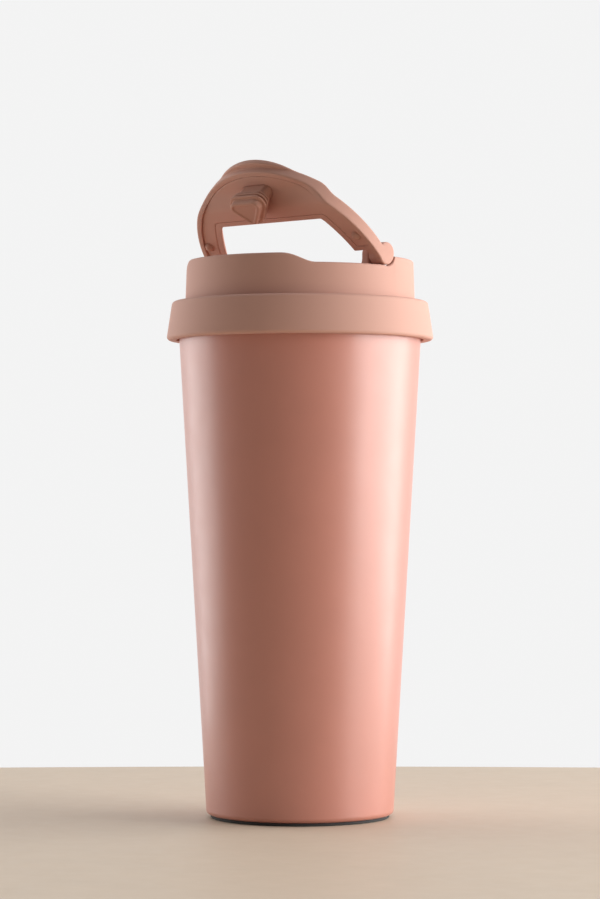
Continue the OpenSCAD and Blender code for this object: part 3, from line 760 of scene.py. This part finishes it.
def build_plug(lid, colours):
    """The plug under the lid, with three thread ridges round it."""
    low = cad_low("lid_plug", 2)
    flange_z = cad_high("lid_gasket", 2)
    flange_r, flange_t, wall, edge = lid.collar_in - 0.5, 1.2, 1.8, 0.6
    seat = lid.plug_r - wall
    profile = (
        [(0.01, low)]
        + arc(lid.plug_r - edge, low + edge, edge, -90, 0, 6)
        + [(lid.plug_r, flange_z), (flange_r, flange_z), (flange_r, flange_z + flange_t),
           (seat, flange_z + flange_t), (seat, low + wall), (0.01, low + wall)]
    )
    finish = inner_finish(colours)
    cup, cup_faces = turned(profile)
    add_piece("plug_body", cup, cup_faces, "lid", finish, ["lid_plug"])
    starts, arc_deg, steps = 3, 104, 52
    first_z = cad_low("lid_plug", 2) + 4
    for start in range(starts):
        sections = []
        begin = (start + 0.5) * 360 / starts - 12
        for i in range(steps + 1):
            turn = arc_deg * i / steps
            tip = math.sqrt(max(0.0, min(1.0, turn / 8, (arc_deg - turn) / 8)))
            a = math.radians(begin + turn)
            z = first_z + (turn - 12) * lid.thread_lead / 360
            height, half = 0.05 + (lid.thread_h - 0.05) * tip, 0.65
            section = [(lid.plug_r - 0.4, z - half), (lid.plug_r, z - half)]
            section += arc(lid.plug_r + height - 0.3 * tip, z - half * 0.35, 0.3 * tip, -70, 0, 3)
            section += arc(lid.plug_r + height - 0.3 * tip, z + half * 0.35, 0.3 * tip, 0, 70, 3)
            section += [(lid.plug_r, z + half), (lid.plug_r - 0.4, z + half)]
            sections.append([(r * math.cos(a), r * math.sin(a), h) for r, h in section])
        size = len(sections[0])
        points = [p for section in sections for p in section]
        faces = [(i * size + k, i * size + (k + 1) % size,
                  (i + 1) * size + (k + 1) % size, (i + 1) * size + k)
                 for i in range(steps) for k in range(size)]
        faces += [tuple(range(size)), tuple(range(steps * size, (steps + 1) * size))]
        add_piece(f"plug_thread_{start + 1}", points, faces, "lid", finish)


# Handle outline seen from above, as in the CAD: window and inner plate
WINDOW_FAR, WINDOW_HALF, WINDOW_SLANT, WINDOW_CORNER = 19.1, 23.1, 6.2, 1.2
WINDOW_BOW = 0.7
LEG_START, BORDER = 4.2, 2.0
PLATE_R = 37.7
PLATE_LOW, PLATE_T = -3.0, 1.2
CROWN_LOW, LEG_CLIMB, FAR_CLIMB = -2.65, 0.7, 4.0
POCKET_DEEP, STOPPER_GAP, POCKET_GAP = 3.8, 0.65, 0.1
UNDER_FROM, UNDER_TO, UNDER_MID = 24.9, 33.15, -0.5
SLOPE = WINDOW_SLANT / (WINDOW_FAR - LEG_START)


def window_shape(u, v, grow=0.0):
    """The finger window, negative inside it."""
    far = WINDOW_FAR + grow
    t = np.clip((far - v) / (far - LEG_START), 0, 1)
    half = WINDOW_HALF + grow + SLOPE * (far - v) + 4 * WINDOW_BOW * t * (1 - t)
    side = (np.abs(u) - half) / math.hypot(1, SLOPE)
    return inside_both(side, v - WINDOW_FAR - grow, WINDOW_CORNER)


def crown_shape(u, v, w):
    """The free space over the window, negative inside: its sides lean outwards."""
    half = WINDOW_HALF + SLOPE * (WINDOW_FAR - v)
    side = (np.abs(u) - half) / math.hypot(1, SLOPE)
    over = np.maximum((side * LEG_CLIMB - (w - CROWN_LOW)) / math.hypot(1, LEG_CLIMB),
                      ((v - WINDOW_FAR) * FAR_CLIMB - (w - CROWN_LOW)) / math.hypot(1, FAR_CLIMB))
    return np.maximum(over, LEG_START - v)


def under_line(v, leg_low):
    """Height of the handle's underside, rising towards the drinking side, and its slope."""
    run, rise = UNDER_TO - UNDER_FROM, UNDER_MID - leg_low
    t = (v - UNDER_FROM) / run
    return leg_low + rise * ease(t), rise * ease_slope(t) / run


def plate_shape(u, v, grow):
    """The inner plate seen from above, negative inside it."""
    disc = np.hypot(u, v) - PLATE_R - grow
    return np.maximum(np.maximum(disc, LEG_START + BORDER - grow - v),
                      -window_shape(u, v, BORDER - grow))


def handle_shape(handle):
    """The closed handle, negative inside the plastic."""
    rise_from, rise_to, leg_top, leg_end, cap_top = 24.8, 30.3, 0.6, 1.4, 3.5
    leg_low = -3.7
    nest_r, nest_chamfer, nest_low = 36.7, 0.8, -3.0
    boss_in, bore_r, bore_end = 34.5, 2.41, 37.9
    tab_half, tab_lift, tab_end, tab_mid, tab_thin = 16.4, 0.5, 0.15, 1.7, 0.8
    tab_v = handle.handle_r + handle.tab_reach
    bow = tab_v - math.sqrt((handle.handle_r + tab_end) ** 2 - tab_half ** 2)
    tab_r = (tab_half ** 2 + bow ** 2) / (2 * bow)

    def shape(u, v, w):
        rho = np.hypot(u, v)
        climb = (v - rise_from) / (rise_to - rise_from)
        leg_slope = (leg_end - leg_top) / (rise_from - LEG_START)
        leg = leg_top + leg_slope * (np.clip(v, LEG_START, rise_from) - LEG_START)
        top = leg + (cap_top - leg_end) * ease(climb)
        tilt = (cap_top - leg_end) * ease_slope(climb) / (rise_to - rise_from)
        upper = (w - top) / np.hypot(1, tilt)
        under, tilt = under_line(v, leg_low)
        lower = (under - w) / np.hypot(1, tilt)
        flat_under, tilt = under_line(v, nest_low)
        wall = rho - handle.handle_r
        band = inside_both(inside_both(wall, upper, handle.top_edge), lower, handle.low_edge)
        cone = (rho - nest_r - nest_chamfer * w / -nest_low) * 0.88
        nest_under = (flat_under - w) / np.hypot(1, tilt)
        nest = inside_both(inside_both(cone, upper, 0.3), nest_under, 0.15)
        body = np.maximum(inside_either(band, nest, 0.4), -v)
        # thumb tab, blended into the top
        to_end = np.clip((u / tab_half) ** 2, 0, 1)
        lift = tab_lift * ease((v - 33.5) / 5) * (1 - to_end)
        disc = np.hypot(u, v - tab_v + tab_r) - tab_r
        thick = tab_mid - tab_thin * to_end
        flat = np.maximum(w - cap_top - lift, cap_top - thick - w)
        tab = np.maximum(inside_both(disc, flat, 0.5), 31 - v)
        body = inside_either(body, tab, 0.3)
        seat = np.maximum(plate_shape(u, v, 0.04), w - flat_under - PLATE_T)
        body = inside_both(body, -seat, 0.12)
        strip = np.maximum(rho - PLATE_R - 0.04, w - flat_under + 0.02)
        body = np.maximum(body, -strip)
        body = inside_both(body, -window_shape(u, v), 0.3)
        body = inside_both(body, -crown_shape(u, v, w), 0.3)
        outline, inside = triangle_distance(u, v)
        plan = np.where(inside, -outline, outline) - SIP_CORNER + STOPPER_GAP - POCKET_GAP
        pocket = np.maximum(plan, w - PLATE_LOW - POCKET_DEEP)
        body = np.maximum(body, -pocket)
        between_ears = np.maximum(np.abs(u) - boss_in, v - LEG_START)
        body = inside_both(body, -between_ears, 0.35)
        cylinder = np.hypot(v, w) - handle.boss_r
        boss = inside_both(inside_both(cylinder, wall, 0.5), boss_in - np.abs(u), 0.3)
        bore = np.maximum(np.hypot(v, w) - bore_r, np.abs(u) - bore_end)
        return np.maximum(np.minimum(body, boss), -bore)

    return shape


def build_handle(handle, colours):
    """The half-round handle with its cap, thumb tab, window and bosses."""
    reach = handle.handle_r
    points, faces = moulded(
        handle_shape(handle), (-reach, -handle.boss_r, -handle.boss_r),
        (reach, reach + handle.tab_reach, 4.0), handle.cell,
    )
    add_piece("handle_body", raised(points), faces, "handle",
              handle_and_shade_finish(colours), ["handle_shell"], math.radians(50))


def build_handle_plate(handle, colours):
    """The inner plate that closes the underside of the handle."""

    def shape(u, v, w):
        under, tilt = under_line(v, PLATE_LOW)
        level = (w - under) / np.hypot(1, tilt)
        outline, inside = triangle_distance(u, v)
        pocket = np.where(inside, -outline, outline) - SIP_CORNER + STOPPER_GAP - POCKET_GAP
        plan = np.maximum(plate_shape(u, v, 0), -pocket)
        return inside_both(plan, np.maximum(-level, level - PLATE_T + 0.02), handle.plate_edge)

    reach = PLATE_R
    points, faces = moulded(shape, (-reach, LEG_START, PLATE_LOW), (reach, reach, 1.2), handle.cell)
    add_piece("handle_plate_inner", raised(points), faces, "handle",
              handle_and_shade_finish(colours), ["handle_plate"], math.radians(50))


def triangle_distance(u, v):
    """Distance from the triangle between the sip opening's corner centres."""
    corners = [np.array(c) for c in SIP_CENTRES]
    best, inside = np.full(np.shape(u), 1e9), np.full(np.shape(u), True)
    for a, b in zip(corners, corners[1:] + corners[:1]):
        e = b - a
        t = np.clip(((u - a[0]) * e[0] + (v - a[1]) * e[1]) / (e @ e), 0, 1)
        best = np.minimum(best, np.hypot(u - a[0] - t * e[0], v - a[1] - t * e[1]))
        inside &= (u - a[0]) * e[1] - (v - a[1]) * e[0] < 0
    return best, inside


def build_stopper(handle, colours):
    """The silicone stopper: a round-cornered triangle with soft ribs."""
    tip, root = -10.2, PLATE_LOW + POCKET_DEEP - 0.02
    ribs = ((-7.55, 0.45, 1.3), (-6.0, 0.4, 1.15), (-4.7, 0.35, 0.8))

    def shape(u, v, w):
        away, inside = triangle_distance(u, v)
        outline = np.where(inside, -away, away) - SIP_CORNER + STOPPER_GAP
        plan = outline - 0.02 * np.minimum(w - tip, 3.0)
        dish = 0.3 * ease((-plan - 0.9) / 0.6)
        body = inside_both(plan, np.maximum(tip + dish - w, w - root), handle.tip_edge)
        for height, half, reach in ribs:
            ring = inside_both(outline - reach, np.abs(w - height) - half, half * 0.8)
            body = inside_either(body, ring, 0.25)
        return np.maximum(body, w - root)

    points, faces = moulded(shape, (-8.6, 22.4, tip), (8.6, 35.8, root), 0.2)
    add_piece("stopper_tip", raised(points), faces, "handle",
              silicone_finish(colours), ["stopper"], math.radians(60))


def build_nubs(colours):
    """The two click nubs under the legs."""
    r, v, dome, edge_gap, arc_steps = 1.7, 11.0, 1.5, 0.2, 12
    u = math.sqrt((PLATE_R - r - edge_gap) ** 2 - v * v)
    profile = [(0.01, 0.2)] + [(r + 0.25, 0.2), (r + 0.18, -0.08)]
    profile += [(r * math.cos(t), -dome * math.sin(t))
                for t in (math.radians(8 + 82 * i / arc_steps) for i in range(arc_steps))]
    profile += [(0.01, -dome)]
    for side, name in ((1, "right"), (-1, "left")):
        points, faces = turned([(a, PLATE_LOW + b) for a, b in profile], 40, (side * u, v))
        add_piece(f"click_nub_{name}", raised(points), faces, "handle",
                  silicone_finish(colours), ["click_nubs"])


def dress_cad_nodes(colours):
    """Gives the CAD nodes that stay visible their finishes."""
    for name, finish in CAD_FINISHES.items():
        node = frame["nodes"][name]
        node.data.materials.clear()
        node.data.materials.append(finish(colours))
        for polygon in node.data.polygons:
            polygon.material_index = 0


# ---- stage ----

VIEW_AZIMUTH = math.radians(41)
VIEW_DISTANCE, VIEW_HEIGHT = 1.008, 0.1086
LENS, SHIFT = 114.7, 0.0652


def heading(turn):
    """Direction at an angle from the camera's side towards its right, in degrees."""
    back = Vector((math.sin(VIEW_AZIMUTH), -math.cos(VIEW_AZIMUTH), 0))
    right = Vector((math.cos(VIEW_AZIMUTH), math.sin(VIEW_AZIMUTH), 0))
    return back * math.cos(math.radians(turn)) + right * math.sin(math.radians(turn))


def soft_light(name, turn, distance, height, width, tall, power, tint=(1, 1, 1)):
    """A large soft light that faces the middle of the tumbler."""
    light = bpy.data.lights.new(name, "AREA")
    light.shape = "RECTANGLE"
    light.size, light.size_y = width, tall
    light.energy = power
    light.color = tint
    lamp = bpy.data.objects.new(name, light)
    lamp.location = heading(turn) * distance + Vector((0, 0, height))
    aim = Vector((0, 0, 0.1)) - lamp.location
    lamp.rotation_euler = aim.to_track_quat("-Z", "Y").to_euler()
    bpy.context.scene.collection.objects.link(lamp)


def build_camera():
    """The camera, level with the middle of the tumbler."""
    data = bpy.data.cameras.new("camera")
    data.lens = LENS
    data.shift_y = SHIFT
    data.clip_start, data.clip_end = 0.05, 50
    camera = bpy.data.objects.new("camera", data)
    camera.location = heading(0) * VIEW_DISTANCE + Vector((0, 0, VIEW_HEIGHT))
    camera.rotation_euler = (math.radians(90), 0, VIEW_AZIMUTH)
    bpy.context.scene.collection.objects.link(camera)
    bpy.context.scene.camera = camera


def build_room_light():
    """Soft light all round, brighter behind the tumbler than in front of it."""
    world = bpy.data.worlds.new("soft_room")
    world.use_nodes = True
    bpy.context.scene.world = world
    tree = world.node_tree
    background = tree.nodes["Background"]
    place = tree.nodes.new("ShaderNodeTexCoord").outputs["Generated"]
    along = tree.nodes.new("ShaderNodeVectorMath")
    along.operation = "DOT_PRODUCT"
    along.inputs[1].default_value = -heading(0)
    wire(tree, place, along.inputs[0])
    spread = tree.nodes.new("ShaderNodeMapRange")
    spread.interpolation_type = "SMOOTHSTEP"
    spread.inputs["From Min"].default_value = -0.55
    spread.inputs["From Max"].default_value = 0.85
    spread.inputs["To Min"].default_value = 0.17
    spread.inputs["To Max"].default_value = 0.90
    wire(tree, along.outputs["Value"], spread.inputs["Value"])
    wire(tree, spread.outputs["Result"], background.inputs["Strength"])
    background.inputs["Color"].default_value = (1, 1, 1, 1)


def build_floor(colours):
    """A plain pale floor: a wide round top that ends behind the tumbler."""
    radius, behind, thick, edge = 1.6, 0.2, 0.02, 0.004
    centre = heading(0) * (radius - behind)
    profile = [(0.0001, 0)] + [(radius - edge + edge * math.sin(t), edge * math.cos(t) - edge)
                               for t in (math.radians(15 * i) for i in range(7))]
    profile += [(radius, -thick), (0.0001, -thick)]
    points, faces = turned(profile, 256, (centre.x, centre.y))
    mesh = bpy.data.meshes.new("floor")
    mesh.from_pydata(points, [], faces)
    mesh.materials.append(finish_of("pale_floor", colours.floor, (0.5, 0.6), 0.015,
                                    [(1.2, 0.01)], Specular_IOR_Level=0.3))
    floor = bpy.data.objects.new("floor", mesh)
    bpy.context.scene.collection.objects.link(floor)


# ---- operators ----


class TumblerOperator:
    """What the tumbler's operators share."""

    bl_options = {"REGISTER", "UNDO"}

    def sizes(self, context):
        scene = context.scene
        return (Sizes(scene.tumbler_vessel), Sizes(scene.tumbler_lid),
                Sizes(scene.tumbler_handle), scene.tumbler_colours)


class TUMBLER_OT_vessel(TumblerOperator, bpy.types.Operator):
    """Build the painted shell and the foot pad"""

    bl_idname = "tumbler.vessel"
    bl_label = "Vessel"

    def execute(self, context):
        vessel, _, _, colours = self.sizes(context)
        build_shell(vessel, colours)
        build_foot_pad(vessel, colours)
        return {"FINISHED"}


class TUMBLER_OT_collar(TumblerOperator, bpy.types.Operator):
    """Build the collar and the gasket under it"""

    bl_idname = "tumbler.collar"
    bl_label = "Collar and gasket"

    def execute(self, context):
        _, lid, _, colours = self.sizes(context)
        build_collar(lid, colours)
        build_gasket(lid, colours)
        return {"FINISHED"}


class TUMBLER_OT_rim(TumblerOperator, bpy.types.Operator):
    """Build the rim, the deck, the hinge ears and the vent valve"""

    bl_idname = "tumbler.rim"
    bl_label = "Rim and deck"

    def execute(self, context):
        _, lid, _, colours = self.sizes(context)
        build_rim(lid, colours)
        build_deck(lid, colours)
        build_ears(lid, colours)
        build_vent_valve(colours)
        return {"FINISHED"}


class TUMBLER_OT_plug(TumblerOperator, bpy.types.Operator):
    """Build the plug and its thread"""

    bl_idname = "tumbler.plug"
    bl_label = "Plug and thread"

    def execute(self, context):
        _, lid, _, colours = self.sizes(context)
        build_plug(lid, colours)
        return {"FINISHED"}


class TUMBLER_OT_handle(TumblerOperator, bpy.types.Operator):
    """Build the flip handle and its inner plate"""

    bl_idname = "tumbler.handle"
    bl_label = "Handle"

    def execute(self, context):
        _, _, handle, colours = self.sizes(context)
        build_handle(handle, colours)
        build_handle_plate(handle, colours)
        return {"FINISHED"}


class TUMBLER_OT_stopper(TumblerOperator, bpy.types.Operator):
    """Build the stopper and the click nubs"""

    bl_idname = "tumbler.stopper"
    bl_label = "Stopper and nubs"

    def execute(self, context):
        _, _, handle, colours = self.sizes(context)
        build_stopper(handle, colours)
        build_nubs(colours)
        return {"FINISHED"}


class TUMBLER_OT_inner(TumblerOperator, bpy.types.Operator):
    """Give the CAD nodes that stay visible their finishes"""

    bl_idname = "tumbler.inner"
    bl_label = "Inner pieces"

    def execute(self, context):
        dress_cad_nodes(context.scene.tumbler_colours)
        return {"FINISHED"}


class TUMBLER_OT_stage(TumblerOperator, bpy.types.Operator):
    """Build the camera, the floor and the lights"""

    bl_idname = "tumbler.stage"
    bl_label = "Stage"

    def execute(self, context):
        context.scene.view_settings.view_transform = "Standard"
        build_camera()
        build_room_light()
        build_floor(context.scene.tumbler_colours)
        soft_light("window_light", 90, 1.1, 0.25, 1.4, 1.2, 24.5)
        soft_light("back_light", -116, 1.2, 0.25, 1.0, 1.3, 8.5)
        soft_light("fill_light", 62, 1.2, 0.15, 0.5, 1.2, 4)
        return {"FINISHED"}


OPERATORS = (
    TUMBLER_OT_stage,
    TUMBLER_OT_vessel,
    TUMBLER_OT_collar,
    TUMBLER_OT_rim,
    TUMBLER_OT_plug,
    TUMBLER_OT_handle,
    TUMBLER_OT_stopper,
    TUMBLER_OT_inner,
)


class TUMBLER_PT_sidebar(bpy.types.Panel):
    """Sizes, colours and the operators that build the tumbler"""

    bl_idname = "TUMBLER_PT_sidebar"
    bl_label = "Insulated Tumbler"
    bl_space_type = "VIEW_3D"
    bl_region_type = "UI"
    bl_category = "Tumbler"

    def draw(self, context):
        layout = self.layout
        for name, group in SETTINGS.items():
            box = layout.box()
            box.label(text=group.__doc__)
            for prop in group.__annotations__:
                box.prop(getattr(context.scene, name), prop)
        column = layout.column()
        for operator in OPERATORS:
            column.operator(operator.bl_idname)


CLASSES = (*SETTINGS.values(), *OPERATORS, TUMBLER_PT_sidebar)


def register():
    for cls in CLASSES:
        bpy.utils.register_class(cls)
    for name, group in SETTINGS.items():
        setattr(bpy.types.Scene, name, bpy.props.PointerProperty(type=group))


def unregister():
    for name in SETTINGS:
        delattr(bpy.types.Scene, name)
    for cls in reversed(CLASSES):
        bpy.utils.unregister_class(cls)


def main():
    register()
    for operator in OPERATORS:
        group, name = operator.bl_idname.split(".")
        getattr(getattr(bpy.ops, group), name)()


if __name__ == "__main__":
    main()
